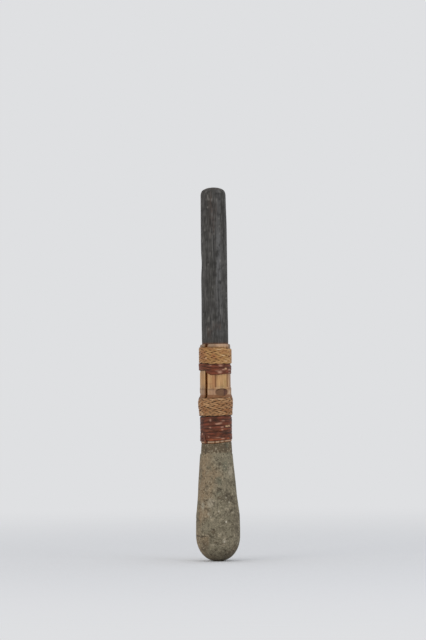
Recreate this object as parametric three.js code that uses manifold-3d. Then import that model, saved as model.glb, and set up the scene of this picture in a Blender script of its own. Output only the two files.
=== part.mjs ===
// A hafted stone pestle. A pounding stone and a wooden handle meet inside a bamboo sleeve, which is split
// in two lengthwise and held shut by two plaited rattan bands and two lashings of rattan strip.
// Millimetres. +Z runs from the pounding face up to the handle's end, and -Y is the front. Angles are
// measured round the axis from the front towards +X.
import * as THREE from "three";
import { mergeVertices } from "three/addons/utils/BufferGeometryUtils.js";
import Module from "manifold-3d";

// Handle
const HANDLE_LENGTH = 201.8;
const HANDLE_RADIUS = 13.05; // in the sleeve, and just above it
const HANDLE_TOP_RADIUS = 12.75;
const HANDLE_FOOT_CHAMFER = 1.2;
const HANDLE_END_FLAT_RADIUS = 4.5;
const HANDLE_END_ROUNDING = 9; // height of the worn shoulder below the end flat

// Bamboo sleeve
const SLEEVE_FIT = 0.25; // between the handle and the culm's bore
const SLEEVE_WALL = 1.8;
const SLEEVE_RIM_BEVEL = 0.4;
const SLEEVE_RIM_BEVEL_HEIGHT = 2;
const SPLIT_ANGLE = -36.5; // degrees: the split that shows, with the other one opposite
const SPLIT_GAP = 2.1;
const NODE_OFFSET = 6.8; // of the culm's node above the lower plaited band
const NODE_RISE = 0.5; // of the swollen stretch between the sheath scar and the node
const NODE_FALL = 2.5; // length above the node in which the swelling dies away
const SHEATH_OFFSET = 0.5; // of the sheath scar above the lower plaited band
const SHEATH_STEP = 0.8; // length in which the swelling begins
const BRANCH_ANGLE = 27; // degrees, to the middle of the trimmed branch and of the groove above it
const GROOVE_WIDTH = 13.6;
const GROOVE_DEPTH = 0.45;
const SCAR_WIDTH = 12.6;
const SCAR_HEIGHT = 8.3;
const SCAR_DEPTH = 0.5;
const SCAR_DROP = 3; // of the scar's middle below the node

// Bindings, in order up the sleeve
const LOWER_LIP = 1.55; // of the sleeve, bare below the lower lashing
const LOWER_ROWS = 8;
const BINDING_GAP = 0.3; // between a lashing and the band above it
const LOWER_BAND_LENGTH = 20.5;
const BARE_LENGTH = 22.05;
const UPPER_ROWS = 3;
const UPPER_BAND_LENGTH = 16.2;
const UPPER_LIP = 3.3; // of the sleeve, bare above the upper band

// Rattan strip of the lashings
const LOWER_STRIP_WIDTH = 2.75;
const UPPER_STRIP_WIDTH = 3.15;
const STRIP_THICKNESS = 0.7;
const STRIP_EDGE = 0.53; // by which each edge of the strip narrows to a blunt line
const STRIP_SPACING = 0.45; // between one row and the next
const STRIP_CLEARANCE = 0.15; // between the strip and the sleeve
const TUCK_BEND = 0.8; // radius at which the first end turns into a split
const TUCK_GAP = 0.3; // between the tucked end and the handle or tang
const CLIMB_ARC = 50; // degrees in which a strip climbs to its next row
const CLIMB_MARGIN = 5; // degrees from the end of a climb to the rear split
const TRIM_MARGIN = 3; // degrees from the trimmed last end to the climb of the row below it

// Plaited bands
const BAND_FIT = 0.2; // between a band and the sleeve
const UPPER_BAND_THICKNESS = 1.05;
const LOWER_BAND_FOOT_THICKNESS = 1.35;
const LOWER_BAND_CROWN_THICKNESS = 1.95;
const LOWER_BAND_CROWN_LENGTH = 9;
const BAND_EDGE = 0.5; // rounding of a band's edges

// Pounding stone
const FACE_RADIUS = 4; // worn flat at the tip
const NOSE_LENGTH = 26.55; // from the flat up to the belly
const NOSE_FULLNESS = 2.15; // power of the nose's outline: 2 is half an egg, and more is blunter
const BELLY_RADIUS = 22.1;
const BELLY_LENGTH = 13;
const BELLY_EASE = 8; // length over which the belly turns into the taper
const TAPER_LENGTH = 67;
const SHOULDER_STEP = 0.7;
const SHOULDER_HEIGHT = 1.5;
const NECK_LENGTH = 9.2;
const NECK_FLARE = 0.8;
const NECK_SETBACK = 0.4; // of the neck's top inside the sleeve's outer face
const SEAT_GAP = 0.3; // between the neck's top and the sleeve's lower end
const TANG_FIT = 0.4; // between the tang's root and the culm's bore
const TANG_LENGTH = 54.6;
const TANG_TAPER = 1;
const TANG_CHAMFER = 1.5;
const BUTT_GAP = 0.3; // between the tang's end and the handle's foot
const HEAD_LEAN = 0.8; // of the belly towards +X from the handle's axis

// Fineness of the facets, and the distance under which points count as one
const TURN_SEGMENTS = 48;
const CURVE_STEPS = 7;
const NOSE_STEPS = 14;
const SCAR_SEGMENTS = 28;
const LOOP_STEPS = 24;
const BEND_STEPS = 4;
const SAME_POINT = 1e-4;

// Places and sizes that follow from the values above
const sleeveBore = HANDLE_RADIUS + SLEEVE_FIT;
const sleeveRadius = sleeveBore + SLEEVE_WALL;
const rearSplitAngle = SPLIT_ANGLE + 180;
const lashingLength = (rows, width) => (rows - 1) * (width + STRIP_SPACING) + width;

const bellyTop = NOSE_LENGTH + BELLY_LENGTH;
const shoulderHeight = bellyTop + TAPER_LENGTH;
const neckFoot = shoulderHeight + SHOULDER_HEIGHT;
const neckTop = neckFoot + NECK_LENGTH;
const tangTop = neckTop + TANG_LENGTH;
const handleFoot = tangTop + BUTT_GAP;
const handleTop = handleFoot + HANDLE_LENGTH;

const sleeveFoot = neckTop + SEAT_GAP;
const lowerLashingFoot = sleeveFoot + LOWER_LIP;
const lowerBandFoot = lowerLashingFoot + lashingLength(LOWER_ROWS, LOWER_STRIP_WIDTH) + BINDING_GAP;
const lowerBandTop = lowerBandFoot + LOWER_BAND_LENGTH;
const sheathHeight = lowerBandTop + SHEATH_OFFSET;
const nodeHeight = lowerBandTop + NODE_OFFSET;
const upperLashingFoot = lowerBandTop + BARE_LENGTH;
const upperBandFoot = upperLashingFoot + lashingLength(UPPER_ROWS, UPPER_STRIP_WIDTH) + BINDING_GAP;
const sleeveTop = upperBandFoot + UPPER_BAND_LENGTH + UPPER_LIP;

const wasm = await Module();
wasm.setup();

// A closed geometry as a solid for cutting, with its shared vertices merged and empty triangles dropped.
function solid(geometry) {
  const bare = geometry.clone().deleteAttribute("normal").deleteAttribute("uv");
  const merged = mergeVertices(bare, SAME_POINT);
  const corners = merged.index.array;
  const kept = [];
  for (let i = 0; i < corners.length; i += 3) {
    const [a, b, c] = corners.slice(i, i + 3);
    if (a !== b && b !== c && c !== a) kept.push(a, b, c);
  }
  return new wasm.Manifold(
    new wasm.Mesh({
      numProp: 3,
      vertProperties: merged.getAttribute("position").array,
      triVerts: new Uint32Array(kept),
    }),
  );
}

// A cut solid as a geometry again.
function geometryOf(cut) {
  const mesh = cut.getMesh();
  const geometry = new THREE.BufferGeometry();
  geometry.setAttribute("position", new THREE.BufferAttribute(mesh.vertProperties, 3));
  geometry.setIndex(new THREE.BufferAttribute(mesh.triVerts, 1));
  geometry.computeVertexNormals();
  return geometry;
}

// A profile of (radius, height) points, listed upwards along its outside, turned about +Z.
function turned(points) {
  return new THREE.LatheGeometry(points, TURN_SEGMENTS).rotateX(Math.PI / 2);
}

// Unit vectors at an angle from the front: straight out from the axis, and along the turn.
function outward(degrees) {
  const angle = THREE.MathUtils.degToRad(degrees);
  return new THREE.Vector3(Math.sin(angle), -Math.cos(angle), 0);
}

function onward(degrees) {
  return outward(degrees + 90);
}

// The stone: a small worn face, a round nose, a full belly and a straight taper up to a low shoulder,
// then the neck below the sleeve and the tapered tang inside it.
function stoneHead() {
  const neckRadius = sleeveRadius - NECK_SETBACK;
  const neckFootRadius = neckRadius + NECK_FLARE;
  const shoulderRadius = neckFootRadius + SHOULDER_STEP;
  const tangRadius = sleeveBore - TANG_FIT;
  const taperSlope = (BELLY_RADIUS - shoulderRadius) / TAPER_LENGTH;
  const nosePower = 2 / NOSE_FULLNESS;
  const faceTurn = Math.acos((FACE_RADIUS / BELLY_RADIUS) ** (1 / nosePower));
  const noseDepth = NOSE_LENGTH / Math.sin(faceTurn) ** nosePower;
  const outline = new THREE.Path();
  outline.moveTo(0, 0);
  outline.lineTo(FACE_RADIUS, 0);
  for (let step = 1; step <= NOSE_STEPS; step++) {
    const turn = faceTurn * (1 - step / NOSE_STEPS);
    const rise = NOSE_LENGTH - noseDepth * Math.sin(turn) ** nosePower;
    outline.lineTo(BELLY_RADIUS * Math.cos(turn) ** nosePower, rise);
  }
  outline.lineTo(BELLY_RADIUS, bellyTop - BELLY_EASE / 2);
  outline.quadraticCurveTo(
    BELLY_RADIUS,
    bellyTop,
    BELLY_RADIUS - taperSlope * BELLY_EASE,
    bellyTop + BELLY_EASE,
  );
  outline.lineTo(shoulderRadius, shoulderHeight);
  outline.lineTo(neckFootRadius, neckFoot);
  outline.lineTo(neckRadius, neckTop);
  outline.lineTo(tangRadius, neckTop);
  outline.lineTo(tangRadius - TANG_TAPER, tangTop - TANG_CHAMFER);
  outline.lineTo(tangRadius - TANG_TAPER - TANG_CHAMFER, tangTop);
  outline.lineTo(0, tangTop);
  const stone = turned(outline.getPoints(CURVE_STEPS));
  const points = stone.getAttribute("position");
  for (let i = 0; i < points.count; i++) {
    const below = shoulderHeight - points.getZ(i);
    const lean = HEAD_LEAN * THREE.MathUtils.smoothstep(below, 0, TAPER_LENGTH);
    points.setX(i, points.getX(i) + lean);
  }
  return stone;
}

// The handle: a rod that tapers slightly upwards to a worn, rounded end with a small flat.
function handle() {
  const shoulder = handleTop - HANDLE_END_ROUNDING;
  const outline = new THREE.Path();
  outline.moveTo(0, handleFoot);
  outline.lineTo(HANDLE_RADIUS - HANDLE_FOOT_CHAMFER, handleFoot);
  outline.lineTo(HANDLE_RADIUS, handleFoot + HANDLE_FOOT_CHAMFER);
  outline.lineTo(HANDLE_RADIUS, sleeveTop);
  outline.lineTo(HANDLE_TOP_RADIUS, shoulder);
  outline.absellipse(
    HANDLE_END_FLAT_RADIUS,
    shoulder,
    HANDLE_TOP_RADIUS - HANDLE_END_FLAT_RADIUS,
    HANDLE_END_ROUNDING,
    0,
    Math.PI / 2,
  );
  outline.lineTo(0, handleTop);
  return turned(outline.getPoints(CURVE_STEPS));
}

// The bamboo culm before it is split: a tube, swollen from its sheath scar to its node, with a bevelled
// upper rim.
function culm() {
  const outline = new THREE.Path();
  outline.moveTo(sleeveBore, sleeveFoot);
  outline.lineTo(sleeveRadius, sleeveFoot);
  outline.lineTo(sleeveRadius, sheathHeight);
  outline.lineTo(sleeveRadius + NODE_RISE, sheathHeight + SHEATH_STEP);
  outline.lineTo(sleeveRadius + NODE_RISE, nodeHeight);
  outline.lineTo(sleeveRadius, nodeHeight + NODE_FALL);
  outline.lineTo(sleeveRadius, sleeveTop - SLEEVE_RIM_BEVEL_HEIGHT);
  outline.lineTo(sleeveRadius - SLEEVE_RIM_BEVEL, sleeveTop);
  outline.lineTo(sleeveBore, sleeveTop);
  outline.closePath();
  return solid(turned(outline.getPoints()));
}

// One half of the culm, on the given side of the plane through both splits.
function culmHalf(side) {
  const reach = 2 * sleeveRadius;
  const height = sleeveTop - sleeveFoot;
  const block = new THREE.BoxGeometry(2 * reach, reach, 2 * height);
  block.translate(0, side * (reach + SPLIT_GAP) / 2, (sleeveFoot + sleeveTop) / 2);
  block.rotateZ(THREE.MathUtils.degToRad(SPLIT_ANGLE + 90));
  return culm().intersect(solid(block));
}

// A shallow cut into the culm's outer face: what the cutter covers, less the core that leaves its floor.
function shallowCut(cutter, depth) {
  const floorRadius = sleeveRadius - depth;
  const core = new THREE.CylinderGeometry(floorRadius, floorRadius, 2 * handleTop, TURN_SEGMENTS);
  core.rotateX(Math.PI / 2);
  cutter.rotateZ(THREE.MathUtils.degToRad(BRANCH_ANGLE));
  return solid(cutter).subtract(solid(core));
}

// The oval where a branch was trimmed off, just below the node's ring.
function branchScar() {
  const bar = new THREE.CylinderGeometry(0.5, 0.5, 2 * sleeveRadius, SCAR_SEGMENTS);
  bar.scale(SCAR_WIDTH, 1, SCAR_HEIGHT);
  bar.translate(0, -sleeveRadius, nodeHeight - SCAR_DROP);
  return shallowCut(bar, SCAR_DEPTH);
}

// The groove that the branch's bud pressed into the culm above the node.
function branchGroove() {
  const length = sleeveTop - nodeHeight;
  const bar = new THREE.BoxGeometry(GROOVE_WIDTH, 2 * sleeveRadius, 2 * length);
  bar.translate(0, -sleeveRadius, nodeHeight + length);
  return shallowCut(bar, GROOVE_DEPTH);
}

// A plaited band: a ring round the sleeve with rounded edges, thinner in its foot than in its crown.
function plaitedBand(foot, length, footThickness, crownThickness, crownLength) {
  const bore = sleeveRadius + BAND_FIT;
  const top = foot + length;
  const outline = new THREE.Path();
  outline.moveTo(bore, foot);
  outline.lineTo(bore + footThickness - BAND_EDGE, foot);
  outline.lineTo(bore + footThickness, foot + BAND_EDGE);
  outline.lineTo(bore + crownThickness, top - crownLength);
  outline.lineTo(bore + crownThickness, top - BAND_EDGE);
  outline.lineTo(bore + crownThickness - BAND_EDGE, top);
  outline.lineTo(bore, top);
  outline.closePath();
  return turned(outline.getPoints());
}

// The middle line of a lashing: out of a split, round the sleeve in level rows that each climb to the next
// one at the back, and on to a trimmed end just before the last climb.
function lashingPath(foot, startAngle, rows, width, coreRadius) {
  const windRadius =
    (sleeveRadius + STRIP_CLEARANCE + STRIP_THICKNESS / 2) / Math.cos(Math.PI / LOOP_STEPS);
  const bendFoot = windRadius - TUCK_BEND;
  const firstHeight = foot + width / 2;
  const point = (degrees, along, out, height) =>
    outward(degrees).multiplyScalar(out).addScaledVector(onward(degrees), along).setZ(height);

  const tucked = [point(startAngle, 0, coreRadius + TUCK_GAP, firstHeight)];
  for (let i = 0; i <= BEND_STEPS; i++) {
    const turn = ((Math.PI / 2) * i) / BEND_STEPS;
    const along = TUCK_BEND * (1 - Math.cos(turn));
    tucked.push(point(startAngle, along, bendFoot + TUCK_BEND * Math.sin(turn), firstHeight));
  }

  const climbAngle = rearSplitAngle - CLIMB_MARGIN - CLIMB_ARC;
  const rowAt = (degrees) => {
    const climbs = Math.floor((degrees - climbAngle) / 360);
    const past = degrees - climbAngle - 360 * climbs;
    return climbs + THREE.MathUtils.smoothstep(past, 0, CLIMB_ARC);
  };
  const bendAngle = THREE.MathUtils.radToDeg(Math.atan2(TUCK_BEND, windRadius));
  const firstAngle = startAngle + bendAngle;
  const sweep = climbAngle - TRIM_MARGIN + 360 * (rows - 1) - firstAngle;
  const steps = Math.round((LOOP_STEPS * sweep) / 360);
  const wound = [];
  for (let i = 1; i <= steps; i++) {
    const degrees = firstAngle + (sweep * i) / steps;
    const height = firstHeight + rowAt(degrees) * (width + STRIP_SPACING);
    wound.push(point(degrees, 0, windRadius, height));
  }
  return [...tucked, ...wound];
}

// A flat strip carried along a path, its width kept as upright as the path allows.
function strip(path, stripWidth) {
  const up = new THREE.Vector3(0, 0, 1);
  const edge = stripWidth / 2;
  const flat = edge - STRIP_EDGE;
  const face = STRIP_THICKNESS / 2;
  const section = [
    [edge, 0],
    [flat, face],
    [-flat, face],
    [-edge, 0],
    [-flat, -face],
    [flat, -face],
  ];
  const rings = path.map((middle, i) => {
    const before = path[Math.max(i - 1, 0)];
    const after = path[Math.min(i + 1, path.length - 1)];
    const ahead = after.clone().sub(before).normalize();
    const across = up.clone().addScaledVector(ahead, -up.dot(ahead)).normalize();
    const through = across.clone().cross(ahead);
    return section.map(([width, thickness]) =>
      middle.clone().addScaledVector(across, width).addScaledVector(through, thickness),
    );
  });

  const sides = section.length;
  const last = (rings.length - 1) * sides;
  const corners = [];
  for (let i = 0; i + 1 < rings.length; i++) {
    for (let j = 0; j < sides; j++) {
      const here = i * sides + j;
      const beside = i * sides + ((j + 1) % sides);
      corners.push(here, here + sides, beside, beside, here + sides, beside + sides);
    }
  }
  for (let j = 1; j + 1 < sides; j++) {
    corners.push(0, j, j + 1);
    corners.push(last, last + j + 1, last + j);
  }
  const geometry = new THREE.BufferGeometry().setFromPoints(rings.flat());
  geometry.setIndex(corners);
  geometry.computeVertexNormals();
  return { geometry, rings };
}

// The least distance between points of a lashing that lie more than half a turn apart along it.
function leastGap(rings) {
  let least = Infinity;
  rings.forEach((ring, i) => {
    const others = rings.slice(i + LOOP_STEPS / 2).flat();
    for (const a of ring) {
      for (const b of others) least = Math.min(least, a.distanceTo(b));
    }
  });
  return least;
}

// A lashing's geometry, with its least gap to itself and the length of its strip printed.
function lashing(name, foot, startAngle, rows, width, coreRadius) {
  const path = lashingPath(foot, startAngle, rows, width, coreRadius);
  const { geometry, rings } = strip(path, width);
  const gap = leastGap(rings).toFixed(2);
  const length = path.slice(1).reduce((sum, point, i) => sum + point.distanceTo(path[i]), 0).toFixed(0);
  console.log(`${name}: least gap to itself ${gap} mm, strip ${length} mm long`);
  return geometry;
}

const stone = new THREE.MeshStandardMaterial({ color: 0x756c5b, roughness: 0.9, metalness: 0 });
const darkWood = new THREE.MeshStandardMaterial({ color: 0x464442, roughness: 0.65, metalness: 0 });
const bamboo = new THREE.MeshStandardMaterial({ color: 0xa9815a, roughness: 0.5, metalness: 0 });
const paleRattan = new THREE.MeshStandardMaterial({ color: 0x8f6b48, roughness: 0.6, metalness: 0 });
const redRattan = new THREE.MeshStandardMaterial({ color: 0x653f31, roughness: 0.4, metalness: 0 });

const pestle = new THREE.Group();

function addPiece(name, geometry, material) {
  const piece = new THREE.Mesh(geometry, material.clone());
  piece.name = name;
  pestle.add(piece);
}

const frontHalf = culmHalf(-1).subtract(branchGroove()).subtract(branchScar());

addPiece("stone_head", stoneHead(), stone);
addPiece("handle", handle(), darkWood);
addPiece("sleeve_front_half", geometryOf(frontHalf), bamboo);
addPiece("sleeve_back_half", geometryOf(culmHalf(1)), bamboo);
addPiece(
  "lower_lashing",
  lashing(
    "lower_lashing",
    lowerLashingFoot,
    rearSplitAngle - 360,
    LOWER_ROWS,
    LOWER_STRIP_WIDTH,
    sleeveBore - TANG_FIT,
  ),
  redRattan,
);
addPiece(
  "lower_plaited_band",
  plaitedBand(
    lowerBandFoot,
    LOWER_BAND_LENGTH,
    LOWER_BAND_FOOT_THICKNESS,
    LOWER_BAND_CROWN_THICKNESS,
    LOWER_BAND_CROWN_LENGTH,
  ),
  paleRattan,
);
addPiece(
  "upper_lashing",
  lashing("upper_lashing", upperLashingFoot, SPLIT_ANGLE, UPPER_ROWS, UPPER_STRIP_WIDTH, HANDLE_RADIUS),
  redRattan,
);
addPiece(
  "upper_plaited_band",
  plaitedBand(
    upperBandFoot,
    UPPER_BAND_LENGTH,
    UPPER_BAND_THICKNESS,
    UPPER_BAND_THICKNESS,
    UPPER_BAND_LENGTH - BAND_EDGE,
  ),
  paleRattan,
);

export default pestle;
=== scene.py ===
import math

import bpy
import numpy as np
from mathutils import Matrix, Vector


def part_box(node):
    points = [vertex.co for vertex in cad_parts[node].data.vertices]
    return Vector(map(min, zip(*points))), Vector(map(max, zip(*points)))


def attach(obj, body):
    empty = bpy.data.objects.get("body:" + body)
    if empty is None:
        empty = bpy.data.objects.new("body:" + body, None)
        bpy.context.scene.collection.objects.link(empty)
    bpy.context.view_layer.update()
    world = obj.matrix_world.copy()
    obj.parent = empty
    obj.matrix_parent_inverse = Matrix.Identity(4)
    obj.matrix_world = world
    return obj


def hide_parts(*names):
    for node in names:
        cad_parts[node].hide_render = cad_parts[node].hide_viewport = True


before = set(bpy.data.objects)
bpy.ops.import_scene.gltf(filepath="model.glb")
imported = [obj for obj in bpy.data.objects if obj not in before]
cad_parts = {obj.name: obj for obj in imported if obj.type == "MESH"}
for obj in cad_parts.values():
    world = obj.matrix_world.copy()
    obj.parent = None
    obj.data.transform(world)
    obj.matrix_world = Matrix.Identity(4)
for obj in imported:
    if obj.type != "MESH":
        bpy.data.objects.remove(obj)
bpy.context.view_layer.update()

# Pounding stone: a greenish-brown sandstone cobble, pecked to a pear shape and rubbed smooth by use.
# Its darker neck stands free below the bamboo, and a tang runs up from it inside the sleeve.
MM = 0.001
FULL_TURN = 2 * math.pi
FACE_RADIUS = 4 * MM
NOSE_LENGTH = 26.55 * MM
NOSE_FULLNESS = 2.15
BELLY_RADIUS = 22.1 * MM
BELLY_TOP = 39.55 * MM
BELLY_EASE = 0.35 * MM
FLANK_SWELLS = ((0.3 * MM, 46 * MM, 4 * MM), (-0.28 * MM, 66 * MM, 10 * MM))
SHOULDER_HEIGHT = 106.55 * MM
SHOULDER_RADIUS = 16.2 * MM
SHOULDER_STEP = 0.7 * MM
SHOULDER_ROUNDING = 1.5 * MM
NECK_FOOT_RADIUS = 15.5 * MM
NECK_TOP_RADIUS = 14.7 * MM
SEAT_GAP = 0.3 * MM
TANG_ROOT_RADIUS = 12.9 * MM
TANG_END_RADIUS = 11.9 * MM
TANG_CHAMFER = 1.5 * MM
POLE_RADIUS = 0.5 * MM
FOOT_FLARE = 0.5 * MM
HEAD_LEAN = 0.8 * MM
CUT_LIFT = 0.2 * MM
CUT_SKEW = 1.6 * MM
LUMP_SIZE = 24 * MM
KNOB_SIZE = 9 * MM
PECK_SIZE = 2.3 * MM
PIT_SIZE = 3.6 * MM
RAGGED_SIZE = 4 * MM
FRACTURE_SIZE = 2.2 * MM
WARM_SIZE = 17 * MM
RELIEF_MEAN = 0.22 * MM
CRACK_ANGLE = -58
CRACK_HEIGHT = 25.4 * MM
CRACK_WIDTH = 0.6 * MM
NOSE_RINGS = 72
BODY_RINGS = 172
NECK_RINGS = 27
TANG_RINGS = 8
STONE_COLUMNS = 260


def node_ends(node):
    """Heights of a solid's lowest and highest points."""
    return [corner[2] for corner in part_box(node)]


def ease(value, start, end):
    """A smooth step: 0 before start, 1 after end, and three squares less two cubes between."""
    share = np.clip((value - start) / (end - start), 0, 1)
    return share * share * (3 - 2 * share)


def plateau(value, start, full, fading, end):
    """Eased up from start to full, 1 from there to fading, and eased down again to the end."""
    return ease(value, start, full) * (1 - ease(value, fading, end))


def bell(value, middle, width):
    """A bell curve: 1 at its middle, falling by the exponential of the squared distance in widths."""
    return np.exp(-(((value - middle) / width) ** 2))


def clouds(points, size, seed):
    """Smooth lumps between 0 and 1: random values on a cubic lattice, eased between its eight corners."""
    cells = 32
    table = np.random.default_rng(seed).random((cells, cells, cells))
    place = points / size
    corner = np.floor(place).astype(int)
    part = place - corner
    part = part * part * (3 - 2 * part)
    steps = np.indices((2, 2, 2)).reshape(3, -1).T
    share = np.where(steps == 1, part[..., None, :], 1 - part[..., None, :]).prod(axis=-1)
    spot = (corner[..., None, :] + steps) % cells
    return (share * table[spot[..., 0], spot[..., 1], spot[..., 2]]).sum(axis=-1)


def about_axis(angle, radius, height):
    """Points round the pestle's axis: radius times sine to the right, minus cosine to the back, and height.

    The angle starts at the front and grows towards the right.
    """
    angle, radius, height = np.broadcast_arrays(angle, radius, height)
    return np.stack([radius * np.sin(angle), -radius * np.cos(angle), height], axis=-1)


def away_from(angle, middle):
    """The angle's distance from a middle given in degrees, between minus and plus half a turn."""
    return (angle - math.radians(middle) + math.pi) % FULL_TURN - math.pi


def patches(points, places):
    """Soft patches on a round piece: the highest of several bells, each by its own arc and height.

    A place is its angle in degrees, its height, and its half sizes round and up the piece, in millimetres.
    """
    angle = np.arctan2(points[..., 0], -points[..., 1])
    radius = np.hypot(points[..., 0], points[..., 1])
    patch = 0 * angle
    for middle, height, half_arc, half_height in places:
        round_it = bell(away_from(angle, middle) * radius, 0, half_arc * MM)
        patch = np.maximum(patch, round_it * bell(points[..., 2], height * MM, half_height * MM))
    return patch


def skew_cut(points):
    """How much higher the culm's lower end is cut than its foot: a little, and more so on its right."""
    return CUT_LIFT + CUT_SKEW * ease(points[..., 0], -4 * MM, 15 * MM)


def add_piece(name, points, faces, tones):
    """A mesh object from points and faces. Each tone is a number per point that the material reads."""
    mesh = bpy.data.meshes.new(name)
    mesh.from_pydata(points.reshape(-1, 3), [], faces, shade_flat=False)
    for tone, values in tones.items():
        layer = mesh.attributes.new(tone, "FLOAT", "POINT")
        spread = np.broadcast_to(values, points.shape[:-1])
        layer.data.foreach_set("value", spread.ravel().astype(np.float32))
    mesh.set_sharp_from_angle(angle=math.radians(55))
    piece = bpy.data.objects.new(name, mesh)
    bpy.context.collection.objects.link(piece)
    return piece


def ringed_piece(name, points, loop=False, **tones):
    """Rows of closed rings of points, with quads between neighbouring rings.

    The rings close into a loop, or else the first and the last are shut by one flat face each.
    """
    number = np.arange(points[..., 0].size).reshape(points.shape[:2])
    lower, upper = (number, np.roll(number, -1, axis=0)) if loop else (number[:-1], number[1:])
    corners = [lower, np.roll(lower, -1, axis=1), np.roll(upper, -1, axis=1), upper]
    faces = np.stack(corners, axis=-1).reshape(-1, 4).tolist()
    if not loop:
        faces += [number[0, ::-1].tolist(), number[-1].tolist()]
    return add_piece(name, points, faces, tones)


def colour(code):
    """An sRGB hex colour as the linear colour that the shader takes."""
    srgb = np.array([int(code[place:place + 2], 16) for place in (1, 3, 5)]) / 255
    linear = np.where(srgb <= 0.04045, srgb / 12.92, ((srgb + 0.055) / 1.055) ** 2.4)
    return (*linear.tolist(), 1.0)


def add_node(tree, kind, inputs=(), out=0, **settings):
    """Adds a shader node with its settings, fills its inputs with values or links, and gives an output."""
    node = tree.nodes.new("ShaderNode" + kind)
    for setting, value in settings.items():
        setattr(node, setting, value)
    for key, value in dict(inputs).items():
        if isinstance(value, bpy.types.NodeSocket):
            tree.links.new(value, node.inputs[key])
        else:
            node.inputs[key].default_value = value
    return node.outputs[out] if node.outputs else None


def layered(tree, base, layers):
    """Colours laid over a base one after another.

    Each has a mask, which is a tone's name or a node's output, the mask's values where the layer is absent
    and where it is full, and a colour.
    """
    colours = colour(base)
    for mask, none, full, code in layers:
        if isinstance(mask, str):
            mask = add_node(tree, "Attribute", attribute_name=mask, out="Fac")
        share = add_node(tree, "MapRange", {"Value": mask, "From Min": none, "From Max": full})
        colours = add_node(tree, "Mix", {0: share, 6: colours, 7: colour(code)}, out=2, data_type="RGBA")
    return colours


def start_finish(name, *pieces):
    """A new material for some pieces: gives its node tree, which is empty."""
    finish = bpy.data.materials.new(name)
    finish.use_nodes = True
    finish.node_tree.nodes.clear()
    for piece in pieces:
        piece.data.materials.append(finish)
    return finish.node_tree


def end_finish(tree, colours, mask, roughness, relief, strength, depth, specular):
    """Ends a finish: its colours, a roughness between two values by a mask, and a fine relief."""
    low, high = roughness
    surface = {
        "Base Color": colours,
        "Roughness": add_node(tree, "MapRange", {"Value": mask, "To Min": low, "To Max": high}),
        "Normal": add_node(tree, "Bump", {"Height": relief, "Strength": strength, "Distance": depth}),
        "Specular IOR Level": specular,
    }
    add_node(tree, "OutputMaterial", {"Surface": add_node(tree, "BsdfPrincipled", surface)})


stone_foot, tang_top = node_ends("stone_head")
sleeve_foot, sleeve_top = node_ends("sleeve_front_half")
neck_top = sleeve_foot - SEAT_GAP
stone_angle = np.linspace(0, FULL_TURN, STONE_COLUMNS, endpoint=False)[None, :]
nose_power = 2 / NOSE_FULLNESS
face_turn = math.acos((FACE_RADIUS / BELLY_RADIUS) ** (1 / nose_power))
nose_turn = np.linspace(face_turn, 0, NOSE_RINGS)
nose_top = stone_foot + NOSE_LENGTH
nose_height = nose_top - NOSE_LENGTH * (np.sin(nose_turn) / math.sin(face_turn)) ** nose_power
body_height = np.linspace(nose_top, SHOULDER_HEIGHT, BODY_RINGS)[1:]
taper = (SHOULDER_HEIGHT - body_height) / (SHOULDER_HEIGHT - BELLY_TOP)
taper_radius = SHOULDER_RADIUS + (BELLY_RADIUS - SHOULDER_RADIUS) * taper
body_radius = BELLY_RADIUS - BELLY_EASE * np.logaddexp(0, (BELLY_RADIUS - taper_radius) / BELLY_EASE)
for rise, middle, width in FLANK_SWELLS:
    body_radius += rise * bell(body_height, middle, width)
neck_height = np.linspace(SHOULDER_HEIGHT, neck_top, NECK_RINGS)[1:]
neck_share = (neck_height - SHOULDER_HEIGHT) / (neck_top - SHOULDER_HEIGHT)
neck_radius = NECK_FOOT_RADIUS + (NECK_TOP_RADIUS - NECK_FOOT_RADIUS) * neck_share
neck_radius += SHOULDER_STEP * (1 - ease(neck_height - SHOULDER_HEIGHT, 0, SHOULDER_ROUNDING))
tang_height = np.linspace(neck_top, tang_top - TANG_CHAMFER, TANG_RINGS)
stone_height = np.concatenate(
    [nose_height, body_height, neck_height, tang_height, [tang_top, tang_top]]
)[:, None]
stone_radius = np.concatenate([
    BELLY_RADIUS * np.cos(nose_turn) ** nose_power,
    body_radius,
    neck_radius,
    np.linspace(TANG_ROOT_RADIUS, TANG_END_RADIUS, TANG_RINGS),
    [TANG_END_RADIUS - TANG_CHAMFER, POLE_RADIUS],
])[:, None]

smooth_stone = about_axis(stone_angle, stone_radius, stone_height)
lumps = 0.7 * clouds(smooth_stone, LUMP_SIZE, seed=3) + 0.3 * clouds(smooth_stone, KNOB_SIZE, seed=4)
pecks = ease(clouds(smooth_stone, PECK_SIZE, seed=5), 0.58, 0.9)
pits = ease(clouds(smooth_stone, PIT_SIZE, seed=6), 0.8, 0.95)
ragged = clouds(smooth_stone, RAGGED_SIZE, seed=7)
broken = clouds(smooth_stone, FRACTURE_SIZE, seed=9)
chip_places = (
    (37, 68, 3, 1.5), (42, 62.5, 3.2, 3.6), (28, 66, 1.6, 2), (54, 56, 1.4, 6), (38, 50.5, 4, 1.6),
    (-150, 70, 7, 8),
)
chips = ease(patches(smooth_stone, chip_places) * (0.25 + 1.4 * broken), 0.4, 0.75)
crack_line = CRACK_HEIGHT + MM * (0.5 * np.sin(9 * stone_angle) + 0.3 * np.sin(23 * stone_angle))
crack_reach = ease(bell(away_from(stone_angle, CRACK_ANGLE), 0, 0.42), 0.15, 0.5)
crack = bell(stone_height, crack_line, CRACK_WIDTH) * crack_reach
pecked = plateau(stone_height, stone_foot, stone_foot + 3 * MM, neck_top - 0.3 * MM, neck_top)
relief = MM * (0.3 * lumps + 0.16 * pecks + 0.3 * pits + 0.45 * chips + 0.15 * crack) - RELIEF_MEAN
stone_surface = np.minimum(stone_radius - relief * pecked, BELLY_RADIUS)
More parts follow.
